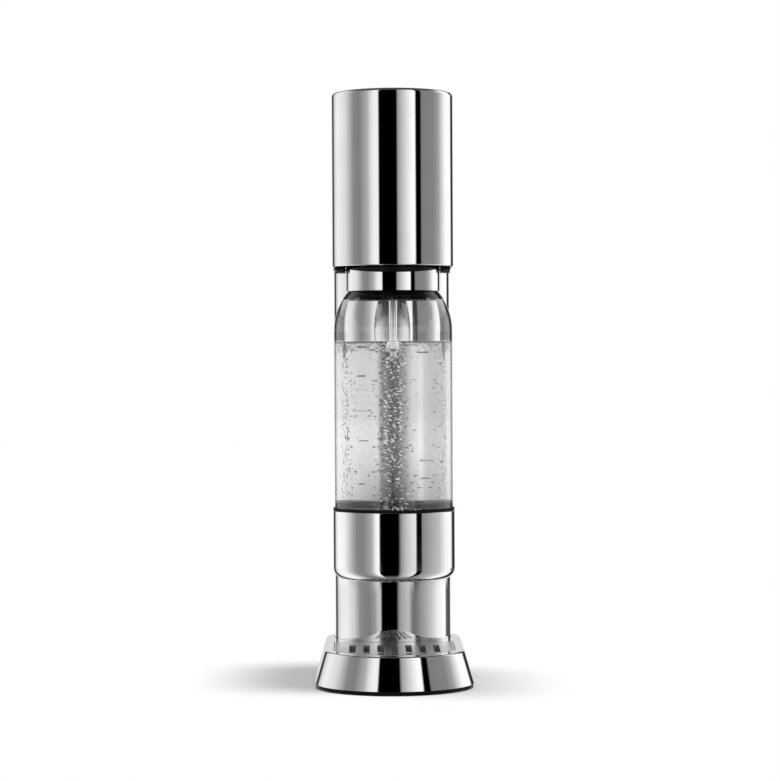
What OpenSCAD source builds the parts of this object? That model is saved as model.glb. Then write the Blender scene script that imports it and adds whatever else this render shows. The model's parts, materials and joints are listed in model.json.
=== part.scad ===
// Sparkling water maker: a polished base, column and head, with the bottle in a tilting holder
// under the head and the gas cylinder inside the column. Millimetres. The origin is on the floor,
// midway between the bottle's axis (front, -Y) and the column's axis (rear, +Y).

/* [Overall] */
// Height from the floor to the top of the head
total_h = 421; // [412:1:440]
// Wall of the polished steel shells
shell_t = 1.2; // [0.8:0.1:1.6]
// Gap between pieces that sit beside each other
fit_gap = 0.4; // [0.3:0.05:0.6]
// Radial clearance of a pin that runs in a bore
run_gap = 0.05; // [0.03:0.01:0.1]
// Diameter of the screws
screw_d = 3; // [2.5:0.5:3.5]

/* [Head] */
// Width of the head
head_w = 86; // [85:0.5:94]
// Height of the head
head_h = 123; // [114:1:126]
// Rounding of the head's top edge
head_edge_r = 2.5; // [1.5:0.5:4]
// Width of the steel rim around the press lever
lever_rim_w = 5.2; // [4:0.2:7]

/* [Press lever] */
// Gap around the press lever
lever_gap = 0.8; // [0.7:0.1:1.5]
// How far the lever lies below the rim
lever_sink = 0.6; // [0.3:0.1:1.5]
// Height of the lever's steel cap
lever_cap_h = 8; // [6:0.5:9]
// Width of the arm under the cap
lever_arm_w = 24; // [18:1:26]
// Thickness of the arm
lever_arm_t = 10; // [8:0.5:11]
// Distance from the column's axis back to the lever's pin
lever_pin_back = 26; // [25:0.5:28]
// Diameter of the lever's pin
lever_pin_d = 5; // [4:0.5:6]

/* [Base] */
// Height of the base
base_h = 26.5; // [22:0.5:32]
// Width of the flat rim around the drip tray
base_rim_w = 6.5; // [6:0.5:9]
// How far the skirt flares out from its top to its bottom
base_flare = 7; // [4:0.5:10]
// Rounding of the skirt's top edge
base_edge_r = 1.5; // [1:0.25:2.5]
// Height of the rubber foot
foot_h = 3; // [2:0.5:5]
// Width of the rubber foot ring
foot_w = 11; // [9:0.5:14]
// Thickness of the base plate
plate_t = 3; // [2.5:0.5:4]

/* [Drip tray] */
// Wall of the drip tray
tray_t = 1.5; // [1:0.1:2]
// How far the tray reaches back beside the column
tray_wrap = 8; // [6:1:14]
// Thickness of the drip grille
grille_t = 1.6; // [1.2:0.1:2.5]
// Most slots across the grille
slot_count = 7; // [3:2:9]
// Width of a slot
slot_w = 4.6; // [3:0.2:6]
// Distance from slot to slot
slot_pitch = 10; // [7:0.5:12]

/* [Bottle] */
// Diameter of the bottle
bottle_d = 84; // [80:0.5:88]
// Height of the bottle with its cup
bottle_h = 235; // [215:1:250]
// Wall of the bottle
bottle_t = 1.6; // [1.2:0.1:2.4]
// Diameter of the neck
neck_d = 38; // [34:0.5:40]
// Height of the neck above the dome
neck_h = 21.5; // [20.5:0.5:26]
// Diameter of the ring around the neck
neck_ring_d = 46; // [43:0.5:47]
// Height of the steel cup around the bottle's foot
cup_h = 48.5; // [30:0.5:70]
// Wall of the cup
cup_t = 0.8; // [0.6:0.1:1.2]
// Rounding of the cup's bottom edge
cup_edge_r = 8; // [4:0.5:12]
// Gap between the cup and the column
bottle_gap = 5; // [3:0.5:10]

/* [Bottle holder] */
// Diameter of the collar
collar_d = 66.4; // [64:0.2:68]
// Height of the collar at its front
collar_h = 12.5; // [10:0.5:14]
// Slope of the collar's top edge, up towards the back, in degrees
collar_slope = 7.3; // [4:0.1:9]
// Largest tilt of the holder, in degrees
tilt_max = 25; // [15:1:26]
// Diameter of the tilt pins
tilt_pin_d = 4; // [3:0.5:5]
// Diameter of the nozzle
nozzle_d = 6.6; // [5:0.2:9]
// How far the nozzle reaches below the bottle's mouth
nozzle_reach = 78; // [60:1:100]

/* [Gas] */
// Diameter of the gas cylinder
cylinder_d = 60; // [54:1:62]
// Height from the top of the gas cylinder to the top of the head
valve_space = 75.8; // [73:0.2:96]
// Wall of the gas cylinder
cylinder_t = 3; // [2:0.25:4]
// Diameter of the valve's thread
valve_d = 21; // [18:0.5:22]
// Length of the valve
valve_h = 25; // [22:0.5:28]
// Diameter of the valve block
block_d = 40; // [38:1:42]
// Height of the valve block
block_h = 30; // [28:0.5:32]
// Diameter of the plunger
plunger_d = 6; // [5:0.5:7]
// Outer diameter of the gas hose
hose_d = 6; // [4:0.5:7]

/* [Hidden] */
$fn = 96;
cut = 1;          // overrun of a cut past the face that it leaves
steel = "gainsboro";
black = "#26262a";
rubber = "#38383c";
brass = "darkgoldenrod";

// Clearances that are the same all over the machine
rest_gap = 0.2;    // between pieces that lie on or beside each other
slip_gap = 0.1;    // around small loose pieces, seals and fittings
press_gap = 0.02;  // around a pin that is pressed in

// Radii of the shells, and the two upright axes
head_r = head_w / 2;
head_in_r = head_r - shell_t;
column_inset = 0.2;
column_r = head_r - column_inset;
column_in_r = column_r - shell_t;
bottle_r = bottle_d / 2;
cup_in_r = bottle_r + fit_gap;
cup_r = cup_in_r + cup_t;
axis_gap = column_r + bottle_gap + cup_r;
front_y = -axis_gap / 2;
rear_y = axis_gap / 2;

// Screws
screw_r = screw_d / 2;
screw_head_r = screw_d * 0.95;
screw_head_t = screw_d * 0.6;
screw_hole_r = screw_r + run_gap;
screw_head_gap = 0.3;
screw_tip_gap = 0.5;
screw_l = 11;

// Base
floor_z = foot_h + plate_t;
base_top_r = head_r + base_rim_w;
base_bottom_r = base_top_r + base_flare;
flare_angle = atan(base_flare / (base_h - foot_h));
edge_x = base_top_r - base_edge_r * (1 - sin(flare_angle)) / cos(flare_angle);
foot_inset = 0.9;
foot_r = base_bottom_r - shell_t - fit_gap - foot_inset;
boss_r = 2.6;
boss_x = head_r + fit_gap + boss_r + rest_gap;
boss_from_axis = 12;

// Drip tray and grille
tray_r = head_r;
tray_z = floor_z + rest_gap;
tray_corner_r = 5;
tray_column_gap = 0.8;
tray_back_y = rear_y - column_r + tray_wrap;
ledge_w = 1.5;
ledge_t = 2;
ledge_z = base_h - grille_t - rest_gap;
slot_edge_w = 6;
slot_back_gap = 20;
slot_reach_r = tray_r - slot_edge_w;
slot_back_y = rear_y - column_r - slot_back_gap;
slot_half = (slot_count - 1) / 2;
slot_xs = [
    for (i = [-slot_half : slot_half])
        if (abs(i * slot_pitch) < slot_reach_r - slot_w) i * slot_pitch
];
rib_w = 5;
rib_t = 2;
rib_from_axis = 8;
rib_y = front_y - rib_from_axis;

// Column and spine
head_z = total_h - head_h;
column_top_z = head_z - rest_gap;
cover_split = 8;
cover_gap_z = 0.6;
window_z = base_h + rest_gap;
hook_t = 1.6;
hook_h = 16;
hook_front = 1;
hook_shares = [0.15, 0.85];   // where the hooks are along the cover
hook_x = sqrt(column_in_r ^ 2 - cover_split ^ 2) - fit_gap;
hook_inset = 0.1;
hook_back = sqrt(column_r ^ 2 - (hook_x + hook_inset) ^ 2);
notch_r = 10;
chassis_r = column_in_r - fit_gap;
chassis_t = 2.8;
cylinder_r = cylinder_d / 2;
seat_gap = 0.6;
seat_rim_t = 2;
seat_in_r = cylinder_r + seat_gap;
seat_r = seat_in_r + seat_rim_t;
flange_t = 4;
flange_in_r = seat_r + fit_gap;
flange_w = chassis_r - flange_in_r;
spine_screw_r = chassis_r - flange_w / 2;
spine_screw_angles = [222, 270, 318];

// Head underside, frame and tilting holder
underside_t = 3;
underside_inset = 0.6;
underside_z = head_z + underside_inset;
deck_t = 4;
deck_z = underside_z + underside_t;
deck_top_z = deck_z + deck_t;
frame_r = head_in_r - fit_gap;
collar_r = collar_d / 2;
collar_in_r = collar_r - shell_t;
pivot_rise = 1.5;
pivot_z = head_z + pivot_rise;
swing_gap = 0.8;
swing_r = collar_r + swing_gap;
swing_reach = collar_r * (1 / cos(tilt_max) - 1) + (pivot_z - underside_z) * tan(tilt_max);
tilt_pin_r = tilt_pin_d / 2;
tilt_pin_hold = 6;
ear_w = 4;
ear_r = tilt_pin_r + ear_w;
ear_x = collar_r + fit_gap;
ear_back_gap = 1;
ear_l = frame_r - ear_back_gap - ear_x;
underside_from_axis = 18;
underside_back_y = rear_y - underside_from_axis;
floor_screw_x = 28;
floor_screw_from_axis = 42;
floor_screw_y = front_y + floor_screw_from_axis;
floor_screw_z = underside_z + screw_head_t;

// Heights that come from a root are rounded up to a tenth
function tenth(z) = ceil(10 * z) / 10;

// Bottle and what holds its neck
mouth_rise = 14;
mouth_z = head_z + mouth_rise;
bottle_z = mouth_z - bottle_h;
neck_r = neck_d / 2;
neck_ring_r = neck_ring_d / 2;
neck_ring_t = 3;
neck_ring_drop = 19;
neck_ring_z = mouth_z - neck_ring_drop;
dome_z = tenth(mouth_z - neck_h - sqrt(bottle_r ^ 2 - neck_r ^ 2));
bottle_in_r = bottle_r - bottle_t;
neck_extra_t = 1.9;
neck_in_r = neck_r - bottle_t - neck_extra_t;
foot_edge_r = cup_edge_r - cup_t;
foot_in_edge_r = max(foot_edge_r - bottle_t, 1);
bottle_foot_z = bottle_z + cup_t + rest_gap;
cup_ring_t = 2;
cup_top_z = bottle_z + cup_h;
collar_z = tenth(dome_z + sqrt(bottle_r ^ 2 - collar_in_r ^ 2) + fit_gap);
carrier_r = collar_in_r - rest_gap;
carrier_step_w = 4.8;
carrier_top_r = carrier_r - carrier_step_w;
neck_gap = 1;
ring_bore_r = neck_ring_r + neck_gap;
ring_room = 2;
ring_bore_top_z = neck_ring_z + neck_ring_t + ring_room;
neck_bore_r = neck_r + neck_gap;
carrier_gap = 1.5;
carrier_z = tenth(dome_z + sqrt(bottle_r ^ 2 - ring_bore_r ^ 2) + carrier_gap);
carrier_step_drop = 1;
carrier_step_z = head_z - carrier_step_drop;
carrier_boss_w = 2.5;
seal_z = mouth_z + rest_gap;
seal_t = 3;
seal_cover = 2.5;
seal_in_r = neck_in_r - seal_cover;
carrier_roof_t = 7;
carrier_top_z = seal_z + seal_t + carrier_roof_t;
nozzle_r = nozzle_d / 2;
nozzle_t = 1.6;
nozzle_bore_r = nozzle_r - nozzle_t;
nozzle_taper = 1.4;
nozzle_tip_r = nozzle_r - nozzle_taper;
nozzle_tip_h = 6;
nozzle_taper_h = 2;
nozzle_shank_h = 5;
nozzle_jet_r = 0.6;
nozzle_end_z = mouth_z - nozzle_reach;
inlet_flange_r = 12;
inlet_flange_t = 3;
inlet_screw_x = 8.5;
inlet_screw_floor = 1;
inlet_nose_l = 6;
inlet_z = carrier_top_z + inlet_flange_t + inlet_nose_l;

// Gas cylinder, valve and block
seat_t = 4;
seat_rim_h = 5;
cylinder_z = floor_z + seat_t + rest_gap;
cylinder_top_z = total_h - valve_space;
cylinder_foot_r = 6;
shoulder_h = 30;
shoulder_r = 24;
valve_r = valve_d / 2;
valve_step = 2.5;
cylinder_neck_r = valve_r + valve_step;
cylinder_neck_t = 5;
cylinder_bore_r = cylinder_neck_r - cylinder_neck_t;
valve_shank_l = 12;
valve_hex_w = 2;
valve_hex_r = cylinder_neck_r + valve_hex_w;
valve_hex_h = 9;
valve_gap = 0.3;
valve_top_z = cylinder_top_z + valve_h;
stem_r = 1.8;
stem_l = 12;
stem_rise = 2;
stem_top_z = valve_top_z + stem_rise;
stem_room = 3;
block_z = cylinder_top_z + valve_hex_h + valve_gap;
block_r = block_d / 2;
block_top_z = block_z + block_h;
block_flange_t = 4;
block_flange_w = 9;
block_flange_x = block_r + block_flange_w;
block_screw_x = block_r + block_flange_w / 2;
socket_r = valve_r + valve_gap;
cylinder_seal_t = 1.2;
cylinder_seal_z = valve_top_z + rest_gap;
socket_top_z = cylinder_seal_z + cylinder_seal_t + slip_gap;
port_rise = 12;
port_z = block_z + port_rise;
port_wall = 2.5;
port_from = valve_r + port_wall;

// Plunger
plunger_r = plunger_d / 2;
plunger_gap = 0.3;
plunger_z = stem_top_z + plunger_gap;
plunger_head_w = 4;
plunger_head_r = plunger_r + plunger_head_w;
plunger_head_t = 3;
plunger_spring_l = 8;
plunger_head_z = block_top_z + plunger_spring_l;
plunger_top_z = plunger_head_z + plunger_head_t;
plunger_spring_r = plunger_r + plunger_head_w / 2;
plunger_spring_wire = 1;
chamber_w = 1.4;
chamber_r = plunger_r + chamber_w;
chamber_rise = 3;
chamber_top_z = stem_top_z + chamber_rise;
ring_wire_r = 0.75;
ring_mid_r = plunger_r + run_gap + ring_wire_r + press_gap;
ring_drop = 4;
ring_z = block_top_z - ring_drop;

// Safety valve on the block's right side
relief_r = 5;
relief_bore_r = 3.2;
relief_l = 21;
relief_floor_t = 2;
relief_ball_r = 2.8;
relief_cap_t = 4;
relief_vent_r = 1;
relief_spring_wire = 0.8;
relief_spring_r = relief_bore_r - relief_spring_wire;
relief_x = port_from + rest_gap;
relief_ball_x = relief_x + relief_floor_t + relief_ball_r + slip_gap;
relief_cap_x = relief_x + relief_l - relief_cap_t;

// Gas outlet on the block's left side, and the hose to the holder
outlet_r = 4;
outlet_reach = 9;
outlet_x = -(block_r + outlet_reach);
outlet_nose_l = 12;
hose_r = hose_d / 2;
hose_from = [outlet_x, rear_y - outlet_nose_l, port_z];
hose_to = [0, front_y, inlet_z];
hose_reach = 40;
hose_steps = 24;
hose_sides = 10;

// Press lever
lever_hole_r = head_r - lever_rim_w;
lever_r = lever_hole_r - lever_gap;
lever_top_z = total_h - lever_sink;
lever_cap_t = 1.5;
lever_edge_r = 1;
lever_pin_r = lever_pin_d / 2;
lever_pin_y = rear_y + lever_pin_back;
arm_top_z = lever_top_z - lever_cap_t;
arm_z = arm_top_z - lever_arm_t;
lever_pin_rise = 2;
lever_pin_z = arm_z + lever_pin_rise;
lever_eye_w = 3;
lever_eye_r = lever_pin_r + lever_eye_w;
arm_overhang = 5;
arm_front_y = front_y - arm_overhang;
boss_tip_r = 3;
boss_tip_h = 2;
boss_gap = 0.3;
arm_boss_r = 5;

// Head frame
post_t = 4;
post_gap = 0.6;
post_x = lever_arm_w / 2 + post_gap;
post_front = 6;
post_back = 4;
post_rise = 5;
post_top_z = lever_pin_z + post_rise;
wall_gap = 2.5;
wall_x = cylinder_r + wall_gap;
wall_t = 3;
shelf_t = 4;
shelf_r = frame_r - fit_gap;
shelf_hole_gap = 1;
shelf_hole_r = valve_hex_r + shelf_hole_gap;
wall_reach = sqrt((shelf_r - fit_gap) ^ 2 - (wall_x + wall_t) ^ 2);
post_h = post_top_z - block_z + shelf_t;
spring_from_block = 10;
spring_from_axis = block_r + spring_from_block;
tower_r = 8.5;
lever_spring_l = 24;
lever_spring_r = 6;
lever_spring_wire = 1.2;
tower_top_z = arm_z - lever_spring_l;

// Half of the outline turns about the rear axis, half about the front one, with straight sides
// between. The child is half of the cross-section, drawn at X >= 0.
module obround_sweep() {
    translate([0, rear_y, 0])
        rotate_extrude(angle = 180) children();
    translate([0, front_y, 0])
        rotate([0, 0, 180])
            rotate_extrude(angle = 180) children();
    rotate([90, 0, 0])
        linear_extrude(axis_gap, center = true) {
            children();
            mirror([1, 0]) children();
        }
}

module obround_outline(r) {
    for (y = [front_y, rear_y])
        translate([0, y]) circle(r);
    square([2 * r, axis_gap], center = true);
}

// Half of the cross-section of a solid whose top edge is rounded
module rounded_top(r, z0, z1, edge) {
    translate([0, z0]) square([r - edge, z1 - z0]);
    translate([0, z0]) square([r, z1 - z0 - edge]);
    translate([r - edge, z1 - edge]) circle(edge);
}

// The same with the bottom edge rounded
module rounded_bottom(r, z0, z1, edge) {
    translate([0, z0]) square([r - edge, z1 - z0]);
    translate([0, z0 + edge]) square([r, z1 - z0 - edge]);
    translate([r - edge, z0 + edge]) circle(edge);
}

module tube(r, r_in, z0, z1) {
    translate([0, 0, z0])
        difference() {
            cylinder(h = z1 - z0, r = r);
            translate([0, 0, -cut]) cylinder(h = z1 - z0 + 2 * cut, r = r_in);
        }
}

// A rod along X from x0 to x1
module rod_x(r, x0, x1) {
    translate([x0, 0, 0]) rotate([0, 90, 0]) cylinder(h = x1 - x0, r = r);
}

// A screw with its head below z = 0 and its shank above
module screw(l) {
    translate([0, 0, -screw_head_t]) cylinder(h = screw_head_t, r = screw_head_r);
    cylinder(h = l, r = screw_r);
}

module screw_room(l) {
    translate([0, 0, -screw_head_t - 2 * cut])
        cylinder(h = screw_head_t + 2 * cut, r = screw_head_r + screw_head_gap);
    translate([0, 0, -cut]) cylinder(h = l + cut + screw_tip_gap, r = screw_hole_r);
}

function along(a, b, t) = a + (b - a) * t;
function unit(v) = v / norm(v);
function bezier(p, t) =
    pow(1 - t, 3) * p[0] + 3 * t * pow(1 - t, 2) * p[1] + 3 * t * t * (1 - t) * p[2] + pow(t, 3) * p[3];
function heading(path, i) =
    unit(path[min(i + 1, len(path) - 1)] - path[max(i - 1, 0)]);

// A closed tube of flat sides swept along a path; ref is a direction that the path never takes
module swept_tube(path, r, sides, ref) {
    last = len(path) - 1;
    points = [
        for (i = [0 : last])
            let (t = heading(path, i), u = unit(ref - (ref * t) * t), v = cross(t, u))
                for (k = [0 : sides - 1])
                    path[i] + r * (cos(360 * k / sides) * u + sin(360 * k / sides) * v)
    ];
    walls = [
        for (i = [0 : last - 1], k = [0 : sides - 1])
            let (a = i * sides + k, b = i * sides + (k + 1) % sides)
                each [[a, b + sides, b], [a, a + sides, b + sides]]
    ];
    ends = [
        for (k = [1 : sides - 2])
            each [[0, k, k + 1], [last * sides, last * sides + k + 1, last * sides + k]]
    ];
    polyhedron(points, concat(walls, ends));
}

// A coil spring that stands on z = 0
rings_per_turn = 8;
spring_sides = 6;
spring_clear = 0.1;
function spring_path(r, wire, l, turns) = [
    for (i = [0 : turns * rings_per_turn])
        [
            r * cos(360 * i / rings_per_turn),
            r * sin(360 * i / rings_per_turn),
            wire / 2 + spring_clear + (l - wire - 2 * spring_clear) * i / (turns * rings_per_turn)
        ]
];
function least_gap(path, wire) =
    min([for (i = [0 : len(path) - 1 - rings_per_turn]) norm(path[i + rings_per_turn] - path[i])]) - wire;

module coil_spring(r, wire, l, turns) {
    path = spring_path(r, wire, l, turns);
    echo(spring_gap = least_gap(path, wire));
    swept_tube(path, wire / 2, spring_sides, [0, 0, 1]);
}

// Base
function skirt_in_r(z) = base_bottom_r - base_flare * (z - foot_h) / (base_h - foot_h) - shell_t;

boss_places = [for (x = [-boss_x, boss_x], y = [front_y + boss_from_axis, rear_y - boss_from_axis]) [x, y]];
spine_places = [for (a = spine_screw_angles) [spine_screw_r * cos(a), rear_y + spine_screw_r * sin(a)]];
base_screw_z = foot_h + screw_head_t + rest_gap;

module foot_ring() {
    color(rubber)
        obround_sweep()
            translate([foot_r - foot_w, 0]) square([foot_w, foot_h]);
}

module base_plate() {
    color(black)
        difference() {
            obround_sweep()
                polygon([
                    [0, foot_h],
                    [skirt_in_r(foot_h) - fit_gap, foot_h],
                    [skirt_in_r(floor_z) - fit_gap, floor_z],
                    [0, floor_z]
                ]);
            for (p = concat(boss_places, spine_places))
                translate([p[0], p[1], base_screw_z]) screw_room(plate_t);
        }
}

module base_screws() {
    color(steel)
        for (p = concat(boss_places, spine_places))
            translate([p[0], p[1], base_screw_z]) screw(screw_l);
}

module skirt_section() {
    slope_x = edge_x + base_edge_r * cos(flare_angle);
    slope_z = base_h - base_edge_r + base_edge_r * sin(flare_angle);
    polygon([
        [base_bottom_r, foot_h],
        [slope_x, slope_z],
        [edge_x, base_h - base_edge_r],
        [edge_x, base_h],
        [edge_x - shell_t, base_h],
        [base_top_r - shell_t, base_h - shell_t],
        [base_bottom_r - shell_t, foot_h]
    ]);
    translate([edge_x, base_h - base_edge_r]) circle(base_edge_r);
}

module base_skirt() {
    color(steel)
        difference() {
            union() {
                obround_sweep() skirt_section();
                translate([0, 0, base_h - shell_t])
                    linear_extrude(shell_t)
                        difference() {
                            obround_outline(edge_x);
                            tray_outline(-fit_gap);
                            translate([0, rear_y]) circle(column_r + fit_gap);
                        }
                for (p = boss_places)
                    translate([p[0], p[1], floor_z])
                        cylinder(h = base_h - floor_z - shell_t / 2, r = boss_r);
            }
            for (p = boss_places)
                translate([p[0], p[1], base_screw_z]) screw_room(screw_l);
        }
}

// Outline of the tray, drawn in by d: round in front, hollow around the column
module tray_outline(d) {
    difference() {
        union() {
            translate([0, front_y]) circle(tray_r - d);
            translate([d - tray_r, front_y])
                square([2 * (tray_r - d), tray_back_y - tray_corner_r - front_y]);
            translate([tray_corner_r - tray_r, front_y])
                square([2 * (tray_r - tray_corner_r), tray_back_y - d - front_y]);
            for (s = [-1, 1])
                translate([s * (tray_r - tray_corner_r), tray_back_y - tray_corner_r])
                    circle(tray_corner_r - d);
        }
        translate([0, rear_y]) circle(column_r + tray_column_gap + d);
    }
}

module drip_tray() {
    color(steel) {
        difference() {
            translate([0, 0, tray_z]) linear_extrude(base_h - tray_z) tray_outline(0);
            translate([0, 0, tray_z + tray_t]) linear_extrude(base_h) tray_outline(tray_t);
        }
        translate([0, 0, ledge_z - ledge_t])
            linear_extrude(ledge_t)
                difference() {
                    tray_outline(tray_t / 2);
                    tray_outline(tray_t + ledge_w);
                }
    }
}

module drip_grille() {
    color(steel) {
        translate([0, 0, base_h - grille_t])
            linear_extrude(grille_t)
                difference() {
                    tray_outline(tray_t + fit_gap);
                    for (x = slot_xs) {
                        slot_front_y = front_y - sqrt(slot_reach_r ^ 2 - x ^ 2);
                        translate([x - slot_w / 2, slot_front_y])
                            square([slot_w, slot_back_y - slot_front_y]);
                    }
                }
        translate([-slot_reach_r, rib_y - rib_w / 2, base_h - grille_t - rib_t])
            cube([2 * slot_reach_r, rib_w, rib_t]);
    }
}

// Column
module column_shell() {
    color(steel)
        difference() {
            translate([0, rear_y, 0]) tube(column_r, column_in_r, floor_z, column_top_z);
            translate([-column_r - cut, rear_y + cover_split, window_z])
                cube([2 * (column_r + cut), column_r, column_top_z]);
        }
}

module rear_cover() {
    cover_z = base_h + cover_gap_z;
    cover_top_z = head_z - cover_gap_z;
    color(steel)
        difference() {
            union() {
                intersection() {
                    translate([0, rear_y, 0]) tube(column_r, column_in_r, cover_z, cover_top_z);
                    translate([-column_r, rear_y + cover_split + fit_gap, 0])
                        cube([2 * column_r, column_r, total_h]);
                }
                for (s = [-1, 1], share = hook_shares)
                    translate([
                        s * (hook_x - hook_t / 2) - hook_t / 2,
                        rear_y + hook_front,
                        along(cover_z, cover_top_z, share) - hook_h / 2
                    ])
                        cube([hook_t, hook_back - hook_front, hook_h]);
            }
            translate([0, rear_y, cover_z])
                rotate([-90, 0, 0]) cylinder(h = column_r + cut, r = notch_r);
        }
}

module half_ring(r, r_in, z0, z1) {
    translate([0, rear_y, 0])
        difference() {
            tube(r, r_in, z0, z1);
            translate([-r - cut, 0, z0 - cut]) cube([2 * (r + cut), r + cut, z1 - z0 + 2 * cut]);
        }
}

module chassis() {
    color(black)
        difference() {
            union() {
                half_ring(chassis_r, chassis_r - chassis_t, floor_z, deck_z);
                half_ring(chassis_r, flange_in_r, floor_z, floor_z + flange_t);
                half_ring(chassis_r, flange_in_r, deck_z - flange_t, deck_z);
            }
            for (p = spine_places) {
                translate([p[0], p[1], base_screw_z]) screw_room(screw_l);
                translate([p[0], p[1], deck_z - flange_t - cut])
                    cylinder(h = flange_t + 2 * cut, r = screw_hole_r);
            }
        }
}

module cylinder_seat() {
    color(rubber)
        translate([0, rear_y, 0]) {
            translate([0, 0, floor_z]) cylinder(h = seat_t, r = seat_r);
            tube(seat_r, seat_in_r, floor_z + seat_t / 2, floor_z + seat_t + seat_rim_h);
        }
}

// Head
module head_shell() {
    lip_r = shell_t / 2;
    color(steel)
        obround_sweep() {
            difference() {
                rounded_top(head_r, head_z + lip_r, total_h, head_edge_r);
                translate([0, head_z]) square([head_in_r, head_h - shell_t]);
                translate([0, head_z]) square([lever_hole_r, head_h + cut]);
            }
            translate([head_r - lip_r, head_z + lip_r]) circle(lip_r);
        }
}

module tilt_pin_bores(r) {
    for (s = [0, 180])
        translate([0, front_y, pivot_z])
            rotate([0, 0, s]) rod_x(r, carrier_r - tilt_pin_hold, frame_r);
}

// Opening in which the holder swings: a circle that is drawn out to the front and back
module swing_opening() {
    for (s = [-1, 1])
        translate([0, front_y + s * swing_reach]) circle(swing_r);
    translate([0, front_y]) square([2 * swing_r, 2 * swing_reach], center = true);
}

module head_floor() {
    color(black)
        difference() {
            union() {
                translate([0, 0, underside_z])
                    linear_extrude(underside_t)
                        difference() {
                            intersection() {
                                obround_outline(frame_r);
                                translate([-frame_r, front_y - frame_r])
                                    square([2 * frame_r, underside_back_y - front_y + frame_r]);
                            }
                            swing_opening();
                            translate([0, rear_y]) circle(chassis_r + fit_gap);
                        }
                for (s = [-1, 1])
                    translate([s * (ear_x + ear_l / 2), front_y, 0]) tilt_ear(ear_l);
            }
            tilt_pin_bores(tilt_pin_r + press_gap);
            for (s = [-1, 1])
                translate([s * floor_screw_x, floor_screw_y, floor_screw_z]) screw_room(underside_t);
        }
}

// A round-ended ear of length l that hangs from the panel
module tilt_ear(l) {
    intersection() {
        translate([0, 0, pivot_z]) rod_x(ear_r, -l / 2, l / 2);
        translate([-l, -2 * ear_r, pivot_z - 2 * ear_r]) cube([2 * l, 4 * ear_r, 2 * ear_r]);
    }
    translate([-l / 2, -ear_r, pivot_z]) cube([l, 2 * ear_r, deck_z - pivot_z]);
}

module floor_screws() {
    color(steel)
        for (s = [-1, 1])
            translate([s * floor_screw_x, floor_screw_y, floor_screw_z])
                screw(underside_t - screw_head_t + deck_t - cut);
}

module head_frame() {
    color(black)
        difference() {
            union() {
                translate([0, 0, deck_z])
                    linear_extrude(deck_t)
                        difference() {
                            obround_outline(frame_r);
                            swing_opening();
                            translate([0, rear_y]) circle(flange_in_r);
                        }
                translate([0, rear_y, 0]) frame_rear();
            }
            for (s = [-1, 1]) {
                translate([s * floor_screw_x, floor_screw_y, floor_screw_z]) screw_room(screw_l);
                translate([s * block_screw_x, rear_y, block_z - shelf_t - cut])
                    cylinder(h = shelf_t + 2 * cut, r = screw_hole_r);
            }
            for (p = spine_places)
                translate([p[0], p[1], deck_z - cut]) cylinder(h = deck_t + 2 * cut, r = screw_hole_r);
            tilt_pin_room();
            translate([0, lever_pin_y, lever_pin_z]) rod_x(lever_pin_r + press_gap, -frame_r, frame_r);
        }
}

// Side walls, valve shelf, spring tower and lever posts, about the column's axis
module frame_rear() {
    for (s = [-1, 1]) {
        translate([s * (wall_x + wall_t / 2) - wall_t / 2, -wall_reach, deck_z])
            cube([wall_t, 2 * wall_reach, block_z - deck_z]);
    }
    translate([0, 0, block_z - shelf_t])
        intersection() {
            for (s = [-1, 1])
                translate([s * (post_x + post_t / 2) - post_t / 2, lever_pin_back - post_front, 0])
                    cube([post_t, post_front + post_back, post_h]);
            cylinder(h = post_h, r = lever_r - shell_t - post_gap);
        }
    translate([0, 0, block_z - shelf_t])
        difference() {
            cylinder(h = shelf_t, r = shelf_r);
            translate([0, 0, -cut]) cylinder(h = shelf_t + 2 * cut, r = shelf_hole_r);
        }
    translate([0, -spring_from_axis, block_z - shelf_t])
        cylinder(h = tower_top_z - block_z + shelf_t, r = tower_r);
}

// Room in the deck above the tilt pins
module tilt_pin_room() {
    for (s = [0, 180])
        translate([0, front_y, pivot_z])
            rotate([0, 0, s]) rod_x(tilt_pin_r + swing_gap, ear_x, frame_r + cut);
}

module chassis_screws() {
    color(steel)
        for (p = spine_places)
            translate([p[0], p[1], deck_top_z]) mirror([0, 0, 1]) screw(deck_t + flange_t - cut);
}

module tilt_pins() {
    color(steel)
        for (s = [0, 180])
            translate([0, front_y, pivot_z])
                rotate([0, 0, s]) rod_x(tilt_pin_r, carrier_r - tilt_pin_hold + fit_gap, ear_x + ear_l);
}

// Press lever
module lever_cap() {
    color(steel)
        obround_sweep()
            difference() {
                rounded_top(lever_r, lever_top_z - lever_cap_h, lever_top_z, lever_edge_r);
                translate([0, lever_top_z - lever_cap_h - cut])
                    square([lever_r - shell_t, lever_cap_h - lever_cap_t + cut]);
            }
}

module lever_arm() {
    boss_z = plunger_top_z + boss_gap;
    color(black)
        difference() {
            union() {
                translate([-lever_arm_w / 2, arm_front_y, arm_z])
                    cube([lever_arm_w, lever_pin_y - arm_front_y, lever_arm_t]);
                translate([0, lever_pin_y, lever_pin_z])
                    rod_x(lever_eye_r, -lever_arm_w / 2, lever_arm_w / 2);
                translate([0, rear_y, boss_z]) cylinder(h = boss_tip_h, r1 = boss_tip_r, r2 = arm_boss_r);
                translate([0, rear_y, boss_z + boss_tip_h]) cylinder(h = arm_z - boss_z, r = arm_boss_r);
            }
            translate([0, lever_pin_y, lever_pin_z])
                rod_x(lever_pin_r + run_gap, -lever_arm_w, lever_arm_w);
        }
}

module lever_pin() {
    pin_half = post_x + post_t;
    color(steel) translate([0, lever_pin_y, lever_pin_z]) rod_x(lever_pin_r, -pin_half, pin_half);
}

module lever_spring() {
    color(steel)
        translate([0, rear_y - spring_from_axis, tower_top_z])
            coil_spring(lever_spring_r, lever_spring_wire, lever_spring_l, 6);
}

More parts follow.
